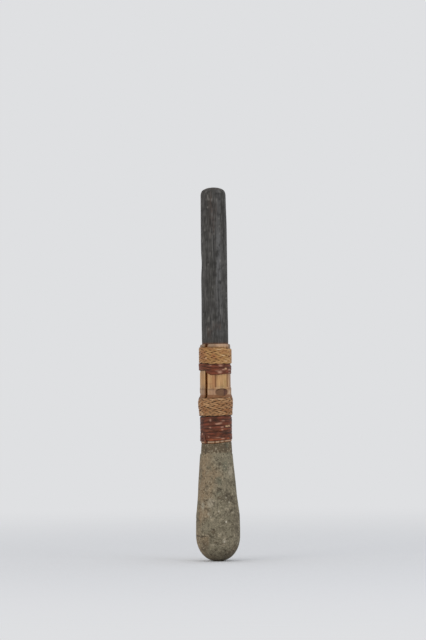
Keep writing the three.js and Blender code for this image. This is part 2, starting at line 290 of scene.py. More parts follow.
stone_points = about_axis(stone_angle, stone_surface, stone_height)
below_shoulder = SHOULDER_HEIGHT - stone_height
stone_points[..., 0] += HEAD_LEAN * ease(below_shoulder, 0, SHOULDER_HEIGHT - BELLY_TOP)
neck_start = SHOULDER_HEIGHT + 3 * MM
on_neck = plateau(stone_height, SHOULDER_HEIGHT, neck_start, neck_top - 0.5 * MM, neck_top)
stone_points[..., 0] += FOOT_FLARE * ease(np.sin(stone_angle), 0, 0.9) * on_neck
by_the_cut = plateau(stone_height, neck_start, neck_top, neck_top + 2 * MM, neck_top + 15 * MM)
stone_points[..., 2] += skew_cut(stone_points) * by_the_cut

# The first set of places is painted shade, darkening the stone's lower right and back; the others are its own
# stains.
stain_places = {
    "dusk": ((30, 66, 8, 9), (0, 80, 4, 5), (62, 40, 10, 26), (60, 8, 10, 7), (200, 60, 12, 20)),
    "ochre": ((-48, 81, 4, 25), (-28, 46, 1.8, 2.4), (-55, 46, 4, 12), (-36, 22, 7, 8), (140, 75, 6, 20)),
    "pale": (
        (-21, 58, 5, 6), (-46, 56, 3, 4), (-24, 48, 2.2, 2.2), (17, 22, 2.4, 3.4), (5, 28, 2, 1.8),
        (-14, 17, 3.4, 1.2), (25, 53, 3, 0.9), (44, 49, 2.4, 0.9), (52, 90, 4, 7), (170, 50, 6, 9),
        (-115, 30, 6, 7),
    ),
    "green": ((29, 96, 3.5, 7), (5, 80, 4.2, 6), (5, 69, 3, 3.4), (45, 115, 3, 2.5), (-160, 90, 5, 12)),
    "dark": (
        (-44, 15, 6, 7), (-11, 30.7, 3.2, 2.8), (-6, 19.6, 2.8, 1.6), (60, 12.5, 8, 5), (36, 9.5, 4, 2),
        (5, 64, 2.4, 1.6), (-21, 67.3, 1, 1.6), (-1, 93, 1.1, 1.1), (-16, 83, 1.1, 1.3), (100, 60, 6, 9),
    ),
    "bright_fleck": ((22, 39.9, 0.6, 1.3), (3, 50.5, 0.4, 1)),
    "dim_fleck": (
        (25.5, 63.8, 0.6, 1), (34.5, 59.3, 1, 0.7), (-19, 45, 0.6, 0.8), (66, 18, 0.8, 0.8), (16, 20, 0.7, 1),
    ),
}
stains = {tone: patches(smooth_stone, where) for tone, where in stain_places.items()}
# Painted shade: the stone darkens towards its lower end, reaching higher on the right.
tip_top = stone_foot + 15 * MM + 8 * MM * ease(np.sin(stone_angle), 0.2, 0.8)
warmth = 0.5 - 0.75 * np.sin(stone_angle + 0.2) + 1.2 * (clouds(smooth_stone, WARM_SIZE, seed=8) - 0.5)
stone = ringed_piece(
    "pounding_stone",
    stone_points,
    pit=np.clip(0.35 * pecks + pits + 0.75 * chips + 1.2 * crack, 0, 1.2),
    warm=ease(warmth, 0.15, 0.85),
    dusk=ease(stains["dusk"] * (0.6 + 0.8 * ragged), 0.2, 0.9),
    ochre=ease(stains["ochre"] * (0.4 + ragged), 0.25, 0.8),
    pale=ease(stains["pale"] * (0.45 + ragged), 0.2, 0.8),
    green=ease(stains["green"] * (0.4 + ragged), 0.25, 0.8),
    dark=ease(stains["dark"] * (0.3 + 1.2 * ragged), 0.25, 0.85),
    neck=ease(stone_height, SHOULDER_HEIGHT + 1.7 * MM, SHOULDER_HEIGHT + 2.3 * MM),
    # Painted light: the tang, seen only through the slit, is bright orange so that the shaded slit reads
    # brown.
    tang=ease(stone_height, neck_top, neck_top + 2 * MM),
    fleck=np.maximum(ease(stains["bright_fleck"], 0.3, 0.6), 0.5 * ease(stains["dim_fleck"], 0.3, 0.7)),
    tip=1 - ease(stone_height, stone_foot + 1 * MM, tip_top),
)

# Ground sandstone: broad warm and greenish stains under a salt-and-pepper of sand grains, quite matt.
# Real grains are about 0.3 mm; they are drawn at 1 to 2 mm so that they show.
# Painted shade darkens the lower right, the back and the lowest end; the hidden tang's orange is painted
# light.
STAIN_SIZE = 14 * MM
MOTTLE_SIZE = 4.5 * MM
GRAIN_SIZE = 2 * MM
SPECK_SIZE = 1 * MM
tree = start_finish("ground sandstone", stone)
place = add_node(tree, "TexCoord", out="Object")
stain, mottle, grain, speck = (
    add_node(tree, "TexNoise", {"Vector": place, "Scale": 1 / size, "Detail": 2})
    for size in (STAIN_SIZE, MOTTLE_SIZE, GRAIN_SIZE, SPECK_SIZE)
)
colours = layered(tree, "#807863", [
    ("warm", 0, 1, "#8f7d63"),
    (stain, 0.5, 0.72, "#736b57"),
    ("dusk", 0, 1.4, "#645b49"),
    ("neck", 0, 1.1, "#63543f"),
    ("ochre", 0, 1.6, "#8c765a"),
    ("green", 0, 1.3, "#6b6957"),
    ("pale", 0, 1.15, "#a59b86"),
    ("dark", 0, 1.4, "#5a4d3b"),
    (mottle, 0.46, 0.2, "#524838"),
    (mottle, 0.55, 0.84, "#a3967e"),
    (grain, 0.45, 0.26, "#4e4536"),
    (grain, 0.57, 0.76, "#a99c84"),
    (speck, 0.4, 0.24, "#463d30"),
    (speck, 0.62, 0.78, "#b5a890"),
    ("tip", 0, 1.7, "#463d30"),
    ("pit", 0, 1.3, "#3f372a"),
    ("fleck", 0, 1, "#d9d0bd"),
    ("tang", 0, 1, "#9a4e00"),
])
end_finish(tree, colours, mottle, (0.78, 0.98), grain, strength=0.5, depth=0.25 * MM, specular=0.4)
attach(stone, "root")
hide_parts("stone_head")

# Handle: a straight billet of hardwood, whittled round with a knife, blackened by smoke and years of
# handling. Its upper end is worn to a dome, and its foot sits inside the sleeve on the stone's tang.
HANDLE_RADIUS = 13.05 * MM
HANDLE_TOP_RADIUS = 12.75 * MM
HANDLE_FOOT_CHAMFER = 1.2 * MM
END_FLAT_RADIUS = 4.5 * MM
END_FLAT_RINGS = np.array([3.4, 2.3, 1.2, 0.3]) * MM
END_ROUNDING = 9 * MM
END_RINGS = 30
GRIP_RINGS = 230
HANDLE_COLUMNS = 260
KNIFE_FLATS = 11
FLAT_SHARE = 0.45
HANDLE_FULLNESS = 0.3 * MM
HOLLOW_HEIGHT = 297 * MM
CROWN_WEAR = 0.55 * MM
CROWN_ARCH = 0.6 * MM
CHECK_FADE_MM = 12
CHECK_PLACES = (
    (0, 294, 326, 0.6), (-34, 268, 331, 0.3), (18, 238, 292, 0.3), (47, 300, 352, 0.35),
    (-14, 330, 362, 0.4), (151, 230, 300, 0.35), (-120, 250, 345, 0.35), (205, 280, 360, 0.35),
)

handle_foot, handle_top = node_ends("handle")
handle_angle = np.linspace(0, FULL_TURN, HANDLE_COLUMNS, endpoint=False)[None, :]
end_turn = np.linspace(0, math.pi / 2, END_RINGS)[1:]
handle_height = np.concatenate([
    [handle_foot, handle_foot, handle_foot + HANDLE_FOOT_CHAMFER, sleeve_top - 6 * MM],
    np.linspace(sleeve_top - 1 * MM, handle_top - END_ROUNDING, GRIP_RINGS),
    handle_top - END_ROUNDING * (1 - np.sin(end_turn)),
    np.full(END_FLAT_RINGS.size, handle_top),
])[:, None]
handle_radius = np.concatenate([
    [POLE_RADIUS, HANDLE_RADIUS - HANDLE_FOOT_CHAMFER, HANDLE_RADIUS, HANDLE_RADIUS],
    np.linspace(HANDLE_RADIUS, HANDLE_TOP_RADIUS, GRIP_RINGS),
    END_FLAT_RADIUS + (HANDLE_TOP_RADIUS - END_FLAT_RADIUS) * np.cos(end_turn),
    END_FLAT_RINGS,
])[:, None]


def knife_flats(angle):
    """How far whittled flats lie inside the circle, as a share of its radius.

    A flat's radius is the cosine of half its angle over the cosine of the angle from its middle.
    """
    half = math.pi / KNIFE_FLATS
    local = (angle + half) % (2 * half) - half
    return FLAT_SHARE * (1 - math.cos(half) / np.cos(local))


def long_grain(points, width, length, seed):
    """Clouds drawn out along the axis, for fibres of that width and length."""
    return clouds(points * np.array([1, 1, width / length]), width, seed)


smooth_handle = about_axis(handle_angle, handle_radius, handle_height)
height_mm, from_sleeve, from_end = ((handle_height - level) / MM for level in (0, sleeve_top, handle_top))
wander = 0.1 * np.sin(height_mm / 34) + 0.05 * np.sin(height_mm / 13 + 1)
flat_angle = handle_angle + wander + 0.1 * np.sin(3 * handle_angle + 1)
flats = knife_flats(flat_angle) * handle_radius
fibres = ease(long_grain(smooth_handle, 1.3 * MM, 30 * MM, seed=21), 0.5, 0.8)
swells = clouds(smooth_handle, 22 * MM, seed=22)
hollow = bell(away_from(handle_angle, -90), 0, 0.5) * bell(handle_height, HOLLOW_HEIGHT, 9 * MM)
checks = 0 * fibres
for middle, foot, head, half_width in CHECK_PLACES:
    line = away_from(handle_angle - 0.03 * np.sin(height_mm / 9 + middle), middle)
    reach = plateau(height_mm, foot, foot + CHECK_FADE_MM, head - CHECK_FADE_MM, head)
    checks = np.maximum(checks, bell(line * HANDLE_RADIUS, 0, half_width * MM) * reach)
end_grain = ease(from_end, -4, -0.5)
shaving = flats + MM * (0.14 * fibres + 0.2 * swells + 0.6 * hollow + 0.3 * checks) - HANDLE_FULLNESS
shaving *= ease(from_sleeve, -1, 2)
rubbed_end = bell(away_from(handle_angle, 80), 0, 0.7) * ease(height_mm, 330, 366)
whittled = handle_radius - (shaving + 0.8 * MM * rubbed_end) * (1 - end_grain)
crown = ease(from_end, -4.5, -0.3)
worn_crown = crown * (CROWN_WEAR + CROWN_ARCH * ease(handle_radius, 1 * MM, 7 * MM))
# Painted highlight: a paler strip down the handle just right of the front, weaker towards both ends.
from_front = away_from(handle_angle, 0)
burnish_start = 0.06 + 0.07 * ease(height_mm, 270, 310)
burnish = plateau(from_front, burnish_start, burnish_start + 0.1, 0.4, 0.75)
burnish *= 1 - 0.65 * ease(height_mm, 318, 340)
burnish *= 0.2 + 0.8 * ease(height_mm, 222, 240)
rubbed_places = (
    (-27, 299, 2.5, 7), (-18, 362, 1.2, 3), (-4, 362.5, 1, 3), (12, 360.5, 1.2, 3), (34, 344, 0.8, 1.2),
    (-35, 334, 0.7, 3), (130, 320, 5, 20),
)
rubbed = patches(smooth_handle, rubbed_places)
brown_places = ((-8, 345, 5, 24), (-17, 327, 2.5, 8), (12, 235, 5, 6), (-25, 228, 4, 7), (120, 300, 6, 30))
handle = ringed_piece(
    "wooden_handle",
    about_axis(handle_angle, np.maximum(whittled, 0.2 * MM), handle_height - worn_crown),
    check=checks,
    burnish=burnish * ease(clouds(smooth_handle, 30 * MM, seed=25), 0, 0.35),
    brown=ease(patches(smooth_handle, brown_places) * (0.6 + 0.7 * fibres), 0.2, 0.9),
    scuff=ease(long_grain(smooth_handle, 1.9 * MM, 3.8 * MM, seed=27) + 0.24 * rubbed, 0.72, 1.05),
    end=end_grain,
    grime=0.32 * (1 - ease(from_sleeve, 1.5, 9)),
    # Painted light: below the rim the hidden foot is bright orange so that the shaded slit reads brown; just
    # above the rim a faint band of it is a brown stain.
    stained=1 - 0.2 * ease(from_sleeve, -0.2, 1.8) - 0.8 * ease(from_sleeve, -6, -1),
)

# Smoked hardwood: near black and matt, with grey and brown grain streaks, paler where hands rub it.
# Real fibres are about 0.2 mm wide; they are drawn at 1 mm so that they show.
# The paler strip right of the front is a painted highlight.
FIBRE_WIDTH = 1 * MM
FIBRE_LENGTH = 11 * MM
BAND_WIDTH = 3.5 * MM
SOOT_SIZE = 6 * MM
tree = start_finish("smoked hardwood", handle)
place = add_node(tree, "TexCoord", out="Object")
drawn_out = add_node(tree, "Mapping", {"Vector": place, "Scale": (1, 1, FIBRE_WIDTH / FIBRE_LENGTH)})
streak, growth, soot = (
    add_node(tree, "TexNoise", {"Vector": grain, "Scale": 1 / size, "Detail": 2})
    for grain, size in ((drawn_out, FIBRE_WIDTH), (drawn_out, BAND_WIDTH), (place, SOOT_SIZE))
)
colours = layered(tree, "#3b3935", [
    (growth, 0.48, 0.68, "#4c4a48"),
    ("burnish", 0, 1.1, "#656463"),
    ("brown", 0, 1.2, "#4e4038"),
    (soot, 0.5, 0.28, "#2b2926"),
    (soot, 0.54, 0.76, "#55534f"),
    (streak, 0.47, 0.3, "#2b2926"),
    (streak, 0.55, 0.72, "#5a5855"),
    ("scuff", 0, 1.8, "#87837d"),
    ("end", 0, 2, "#45392f"),
    ("grime", 0, 1, "#2a231b"),
    ("check", 0, 1.2, "#1b1917"),
    ("stained", 0, 1, "#a65600"),
])
end_finish(tree, colours, growth, (0.55, 0.8), streak, strength=0.5, depth=0.2 * MM, specular=0.35)
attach(handle, "root")
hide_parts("handle")

# Bamboo sleeve: one length of culm split lengthwise into two halves, which clasp the tang and the handle.
# The culm's node ring, the scar of a trimmed branch and the groove above it show on the front half.
SLEEVE_RADIUS = 15.1 * MM
SLEEVE_BORE = 13.3 * MM
RIM_BEVEL = 0.4 * MM
RIM_BEVEL_HEIGHT = 2 * MM
RIM_WEAR = 0.8 * MM
FOOT_BEVEL = 0.3 * MM
SPLIT_ANGLE = math.radians(-36.5)
SPLIT_GAP = 2.1 * MM
SPLIT_DRIFT = math.radians(-4)
RIM_DRIFT = math.radians(4.5)
SPRUNG = 0.5 * MM
NODE_HEIGHT = 171.85 * MM
NODE_FALL = 2.5 * MM
NODE_RISE = 0.5 * MM
LEDGE_TOP = 166.9 * MM
LEDGE_HEIGHT = 3.4 * MM
LEDGE_FLARE = 0.9 * MM
BAND_SAGS = {"lower": (1.9 * MM, -0.6 * MM), "upper": (0.5 * MM, 1.4 * MM)}
UNWOUND_HEIGHT = 3.6 * MM
GROOVE_ANGLE = 26.15
GROOVE_HALF_ANGLE = math.radians(27.55)
GROOVE_DEPTH = 0.4 * MM
SCAR_ANGLE = 24.5
SCAR_HEIGHT = 168.7 * MM
SCAR_HALF_WIDTH = 7.4 * MM
SCAR_HALF_HEIGHT = 4 * MM
SCAR_DEPTH = 0.6 * MM
SCAR_SEAM_ANGLE = 38
SCAR_SEAM_BOW = 0.9 * MM
SLEEVE_COLUMNS = 190
SPLIT_ENDS = (
    (-5, 3, 0.8), (14, 2.6, 0.75), (32, 3, 0.8), (66, 2, 0.5), (88, 4, 0.6), (-80, 3, 0.6), (170, 3.4, 0.7),
)
culm_places = {
    # The collar places are painted highlights on the scar's rim.
    "collar": ((4, 172.7, 0.9, 0.7), (59, 168.3, 1.5, 2)),
    "olive": ((40, 178.5, 2.2, 4), (33, 175, 3, 2)),
    "flush": ((-6, 181, 2, 9), (-16, 177.3, 3, 0.6)),
    "pale": ((-16, 180, 3.2, 7), (16, 180, 4.4, 6), (38, 184, 3, 3)),
    "faint": ((-58, 181, 3.5, 6),),
    # Dusty greyish places; the one under the upper lashing's left end and the one above the scar are painted
    # shade.
    "dusty": (
        (-70, 169, 6, 6), (-85, 176, 3, 8), (-55, 173, 5, 2.6), (-52, 189, 4, 1.5), (20, 174, 5, 1.1),
        (76, 167.5, 2.4, 1.5), (80, 172.5, 2.4, 2.4),
    ),
    "sooty": ((-14, 171.6, 4.5, 1.1), (-58, 171.8, 3, 1.2)),
}


def plate_piece(name, outer, inner, **tones):
    """A curved plate: an outer and an inner sheet of points, with quads on both and round their edges."""
    out, into = np.arange(2 * outer[..., 0].size).reshape(2, *outer.shape[:2])
    sheets = [
        [out[:-1, :-1], out[:-1, 1:], out[1:, 1:], out[1:, :-1]],
        [into[:-1, :-1], into[1:, :-1], into[1:, 1:], into[:-1, 1:]],
        [into[0, :-1], into[0, 1:], out[0, 1:], out[0, :-1]],
        [out[-1, :-1], out[-1, 1:], into[-1, 1:], into[-1, :-1]],
        [into[:-1, 0], out[:-1, 0], out[1:, 0], into[1:, 0]],
        [out[:-1, -1], into[:-1, -1], into[1:, -1], out[1:, -1]],
    ]
    faces = np.concatenate([np.stack(sheet, axis=-1).reshape(-1, 4) for sheet in sheets]).tolist()
    return add_piece(name, np.stack([outer, inner]), faces, tones)


def between_splits(start, share, radius):
    """Angles from one sawn edge of a half culm to the other, at a radius.

    Each edge lies half the gap away from the plane of the split, so it is at the arcsine of that.
    """
    edge = np.arcsin(SPLIT_GAP / 2 / radius)
    return start + edge + share * (math.pi - 2 * edge)


def band_sag(angle, part):
    """How far a band's upper edge hangs below its place at the back: by its sags at the front and right."""
    front, right = BAND_SAGS[part]
    return front * np.abs(np.cos(angle / 2)) + right * ease(np.sin(angle), -0.3, 1)


def sleeve_half(name, start, unwound, turned):
    """One half of the culm: a tube's radius with the node, groove, scar and fibres added or taken away.

    The upper lashing starts higher on the half where its first row is still unwound, and the rim of one
    half is turned a little away from the other's.
    """
    height = np.concatenate([
        np.linspace(sleeve_foot, sleeve_foot + 2.8 * MM, 14),
        np.linspace(sleeve_foot + 3.4 * MM, 160 * MM, 24),
        np.linspace(162 * MM, 188 * MM, 110),
        np.linspace(190 * MM, sleeve_top - 5 * MM, 12),
        np.linspace(sleeve_top - 4.4 * MM, sleeve_top, 18),
    ])[:, None]
    share = np.linspace(0, 1, SLEEVE_COLUMNS)[None, :]
    levels = (sleeve_foot, NODE_HEIGHT, sleeve_top)
    from_foot, from_node, from_top = ((height - level) / MM for level in levels)
    near_top = ease(from_top, -3.5, 0)
    drift = SPLIT_DRIFT * (1 - ease(from_foot, 3, 25)) + turned * near_top
    angle = between_splits(start, share, SLEEVE_RADIUS) + drift
    smooth = about_axis(angle, SLEEVE_RADIUS, height)
    spots = {tone: patches(smooth, where) for tone, where in culm_places.items()}
    fibres = long_grain(smooth, 0.8 * MM, 24 * MM, seed=31)
    frayed = clouds(smooth * np.array([1, 1, 0.6]), 1.6 * MM, seed=32)

    off_groove = away_from(angle, GROOVE_ANGLE)
    in_groove = 1 - ease(np.abs(off_groove), GROOVE_HALF_ANGLE - 0.06, GROOVE_HALF_ANGLE)
    groove = in_groove * ease(from_node, -0.2, 1.6)
    edge_line = GROOVE_HALF_ANGLE * SLEEVE_RADIUS - 0.35 * MM
    crease = bell(np.abs(off_groove) * SLEEVE_RADIUS, edge_line, 0.7 * MM)
    crease *= ease(from_node, 1.2, 2.4) * (1 - 0.7 * ease(from_top, -4, -3))
    scar_rise = (height - SCAR_HEIGHT) / SCAR_HALF_HEIGHT
    scar = np.hypot(away_from(angle, SCAR_ANGLE) * SLEEVE_RADIUS / SCAR_HALF_WIDTH, scar_rise)
    scar_floor = 1 - ease(scar, 0.8, 1.02)
    off_seam = away_from(angle, SCAR_SEAM_ANGLE)
    scar_seam = bell(off_seam * SLEEVE_RADIUS, -SCAR_SEAM_BOW * scar_rise ** 2, 0.45 * MM) * scar_floor
    # Painted shadow along the scar's upper rim; the seam between its two lobes is its own dark line.
    scar_top = bell(scar, 0.9, 0.1) * ease(height, SCAR_HEIGHT, SCAR_HEIGHT + 3 * MM)
    # The pale collar round the scar and its two pale spots are a painted highlight on the scar's rim.
    collar = bell(scar, 1.14, 0.12)
    lower_edge = node_ends("lower_plaited_band")[1] - band_sag(angle, "lower")
    above_band = ease(height, lower_edge - 0.6 * MM, lower_edge + 0.3 * MM)
    swelling = above_band * (1 - ease(height - NODE_HEIGHT, 0, NODE_FALL))
    ledge = above_band * ease(LEDGE_TOP - height, 0, LEDGE_HEIGHT)
    sheath = above_band * (1 - ease(height, LEDGE_TOP - 1 * MM, LEDGE_TOP))
    ridge = bell(from_node, 0.2, 0.55)
    split_ends = 0 * fibres
    for middle, length, half_width in SPLIT_ENDS:
        low_end = 1 - ease(from_foot, 0.6 * length, length)
        line = bell(away_from(angle, middle) * SLEEVE_RADIUS, 0, half_width * MM)
        split_ends = np.maximum(split_ends, line * low_end)

    top_bevel = RIM_BEVEL * ease(height - sleeve_top, -RIM_BEVEL_HEIGHT, 0)
    radius = SLEEVE_RADIUS - top_bevel - FOOT_BEVEL * (1 - ease(from_foot, 0, 0.7))
    ring_rise = NODE_RISE * (0.8 + 0.4 * np.sin(angle)) * swelling + 0.12 * MM * ridge
    radius = radius + (ring_rise + LEDGE_FLARE * ledge) * (1 - scar_floor)
    radius -= GROOVE_DEPTH * groove + 0.15 * MM * crease
    radius -= SCAR_DEPTH * scar_floor + MM * (0.25 * scar_seam - 0.2 * collar)
    radius -= MM * (0.04 * fibres + 0.35 * split_ends)
    bowed = plateau(height / MM, 166, 169, 186, 192)
    radius += SPRUNG * bell(away_from(angle, -98), 0, 0.7) * bowed
    flared = 1 - ease(from_foot, 1, 4)
    radius += FOOT_FLARE * bell(away_from(angle, 80), 0, 0.7) * flared
    outer = about_axis(angle, radius, height)
    inner = about_axis(between_splits(start, share, SLEEVE_BORE) + drift, SLEEVE_BORE, height)
    for sheet in (outer, inner):
        across = sheet[..., 0]
        worn_down = 0.25 + ease(-across, 9.5 * MM, 15 * MM) + 0.5 * ease(across, 9 * MM, 15 * MM)
        sheet[..., 2] += skew_cut(sheet) * (1 - ease(from_foot, 0, 8)) - RIM_WEAR * worn_down * near_top

    # Painted shade: the sleeve is dark brown where the bands and lashings cover it, so the gaps between
    # strips read dark.
    covered = 0 * angle
    for part, skipped in (("lower", 0), ("upper", unwound)):
        foot = node_ends(part + "_lashing")[0] + skipped
        head = node_ends(part + "_plaited_band")[1] - band_sag(angle, part)
        covered += plateau(height, foot + 0.5 * MM, foot + 1 * MM, head - 1 * MM, head - 0.5 * MM)
    right_of_split = ease(away_from(angle, -40), -0.05, 0.05)
    cut_foot = plateau(from_foot, 0.6, 1, 2.2, 2.6)
    cut_foot = cut_foot * (0.55 + 0.6 * frayed) * (1 - 0.5 * ease(away_from(angle, 24), 0, 0.4))
    cut_head = ease(from_top, -3.4, -2.2) * (0.6 + 0.5 * frayed)
    cut_ends = np.maximum(cut_head, cut_foot) * (0.4 + 0.6 * right_of_split) * (1 - split_ends)
    # Darker along the foot.
    foot_grime = 1 - ease(from_foot, 0.5, 0.9)
    upper_edge = -2.8 - band_sag(angle, "upper") / MM
    # Painted shadow: a dark line on the rim along the upper band's edge.
    head_grime = bell(from_top, upper_edge, 0.6)
    right_rim = 0.7 * ease(away_from(angle, 54), 0, 0.2) - 0.45 * ease(away_from(angle, 6), -0.2, 0.1)
    sooty = 0.65 + right_of_split * (right_rim - 0.2)
    sooty *= ease(from_top, upper_edge - 1, upper_edge)
    below_node = 1 - ease(from_node, -0.8, 0.4)
    right_side = ease(away_from(angle, 54), 0, 0.1) * (1 - ease(away_from(angle, 130), 0, 0.5))
    # Painted shade along both sawn edges of the slit.
    sawn_edge = bell(share, 0, 0.01) + bell(share, 1, 0.025)
    faint = spots.pop("faint")
    seen = {
        **spots,
        "crease": crease * (1 - 0.3 * (off_groove > 0)),
        "scar": scar_floor,
        "redscar": scar_floor * ease(off_seam, -0.2, 0.1),
        "seam": np.clip(scar_seam + scar_top, 0, 1),
        "collar": np.maximum(0.2 * collar, 1.5 * spots["collar"]),
        "ring": np.clip(0.6 * ridge + sheath * (0.7 + 0.5 * frayed), 0, 1) * (1 - scar_floor),
        "blush": np.clip(below_node + right_side, 0, 1),
        "cut": cut_ends,
        # The split colour is the split faces' own brown, and painted shade along the slit's lips and the
        # upper band's edge.
        "split": np.clip(sawn_edge + split_ends + 0.85 * foot_grime + 0.75 * head_grime, 0, 1),
        "pale": spots["pale"] + 0.3 * faint,
        "sooty": sooty + 0.35 * spots["sooty"],
        "covered": covered,
    }
    whole = np.ones(angle.shape)
    # The inner sheet takes the split colour throughout: the split faces' brown and painted shade inside the
    # culm.
    tones = {tone: np.stack([whole * values, whole * (tone == "split")]) for tone, values in seen.items()}
    return plate_piece(name, outer, inner, **tones)


back_half = sleeve_half("sleeve_back", SPLIT_ANGLE + math.pi, UNWOUND_HEIGHT, 0)
front_half = sleeve_half("sleeve_front", SPLIT_ANGLE, 0, RIM_DRIFT)

# Aged bamboo: a satin golden-tan skin with fine lengthwise fibres, pinkish below the node, stained brown
# in every crease, and paler where the culm was cut across. Fibres are drawn at 0.6 mm so that they show.
# Painted shade darkens it under the bindings, along the slit's lips, along the upper band's edge and on the
# scar's upper rim; a painted highlight lightens the scar's collar.
BAMBOO_FIBRE = 0.6 * MM
BAMBOO_FIBRE_LENGTH = 18 * MM
BAMBOO_STREAK = 2.6 * MM
BAMBOO_PATCH = 7 * MM
tree = start_finish("aged bamboo", back_half, front_half)
place = add_node(tree, "TexCoord", out="Object")
drawn_out = add_node(tree, "Mapping", {"Vector": place, "Scale": (1, 1, BAMBOO_FIBRE / BAMBOO_FIBRE_LENGTH)})
fibre, wide_streak, patch = (
    add_node(tree, "TexNoise", {"Vector": grain, "Scale": 1 / size, "Detail": 1})
    for grain, size in ((drawn_out, BAMBOO_FIBRE), (drawn_out, BAMBOO_STREAK), (place, BAMBOO_PATCH))
)
colours = layered(tree, "#bb8f60", [
    (patch, 0.5, 0.68, "#cfa471"),
    (wide_streak, 0.48, 0.3, "#97704a"),
    ("pale", 0, 1.5, "#d0a26b"),
    ("blush", 0, 1.4, "#a07c65"),
    ("dusty", 0, 1.7, "#8a775f"),
    ("olive", 0, 2.2, "#a58c4c"),
    ("flush", 0, 1.3, "#a96e44"),
    (fibre, 0.45, 0.28, "#8f6842"),
    (fibre, 0.56, 0.73, "#dcb385"),
    ("cut", 0, 1.1, "#b6967a"),
    ("collar", 0, 1.9, "#ccae8c"),
    ("ring", 0, 1.05, "#80522e"),
    ("sooty", 0, 1, "#65574a"),
    ("scar", 0, 1.05, "#714f34"),
    ("redscar", 0, 1.3, "#623b2f"),
    ("crease", 0, 0.95, "#6f4014"),
    ("seam", 0, 1.2, "#46291c"),
    ("split", 0, 1.05, "#6b3f12"),
    ("covered", 0, 1, "#3d2411"),
])
end_finish(tree, colours, patch, (0.42, 0.62), fibre, strength=0.3, depth=0.1 * MM, specular=0.35)
for half, node in ((back_half, "sleeve_back_half"), (front_half, "sleeve_front_half")):
    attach(half, "root")
    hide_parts(node)

# Plaited bands: each is one long strip of split rattan, plaited over two and under two into a ring
# that grips the sleeve. The lower band is coarser and swells below the ledge of the culm's sheath ring.
PLAIT_WIDTH = 2.1 * MM
PLAIT_STEP = 0.6 * MM
PLAIT_TURNS = 12
PLAIT_SHARPNESS = 0.985
PLAIT_KNOTS = 150
ZIGZAG_LENGTHENING = 1.15
LOWER_DIP = (-0.75 * MM, -0.2, 0.8)
UPPER_DIP = (0.95 * MM, -0.75, -0.2)
STRIP_SIDES = 12


def strip_section():
    """Outline of a split strip, half-width and half-height 1: powers of cosine and sine, flat underneath."""
    turn = np.linspace(0, FULL_TURN, STRIP_SIDES, endpoint=False)
    across = np.sign(np.cos(turn)) * np.abs(np.cos(turn)) ** 0.8
    skin = np.abs(np.sin(turn)) ** 0.9
    pith = -np.abs(np.sin(turn)) ** 0.4
    return across, np.where(np.sin(turn) > 0, skin, pith)


strip_across, strip_rise = strip_section()


def swept_strip(path, outward, width, thickness, loop=False):
    """A strip carried along a path with its skin side outwards.

    A point is the path, plus half the width times the section's share to the side, plus half the thickness
    times its share outwards. The side is the outward direction crossed with the path's own.
    """
    ahead = np.roll(path, -1, axis=0) - np.roll(path, 1, axis=0) if loop else np.gradient(path, axis=0)
    ahead /= np.linalg.norm(ahead, axis=-1, keepdims=True)
    side = np.cross(outward, ahead)
    side /= np.linalg.norm(side, axis=-1, keepdims=True)
    skin = np.cross(ahead, side)
    half_width = np.reshape(width, (-1, 1, 1)) / 2
    wide = side[:, None] * strip_across[:, None] * half_width
    deep = skin[:, None] * strip_rise[:, None] * thickness / 2
    return path[:, None] + wide + deep


def along_path(path):
    """Distance along the path from its start to each of its points."""
    return np.concatenate([[0], np.cumsum(np.linalg.norm(np.diff(path, axis=0), axis=-1))])


def edge_dip(angle, dip):
    """How far the bindings' edges hang lower on the right: the dip, eased over a span of the angle's sine."""
    depth, start, end = dip
    return depth * ease(np.sin(angle), start, end)


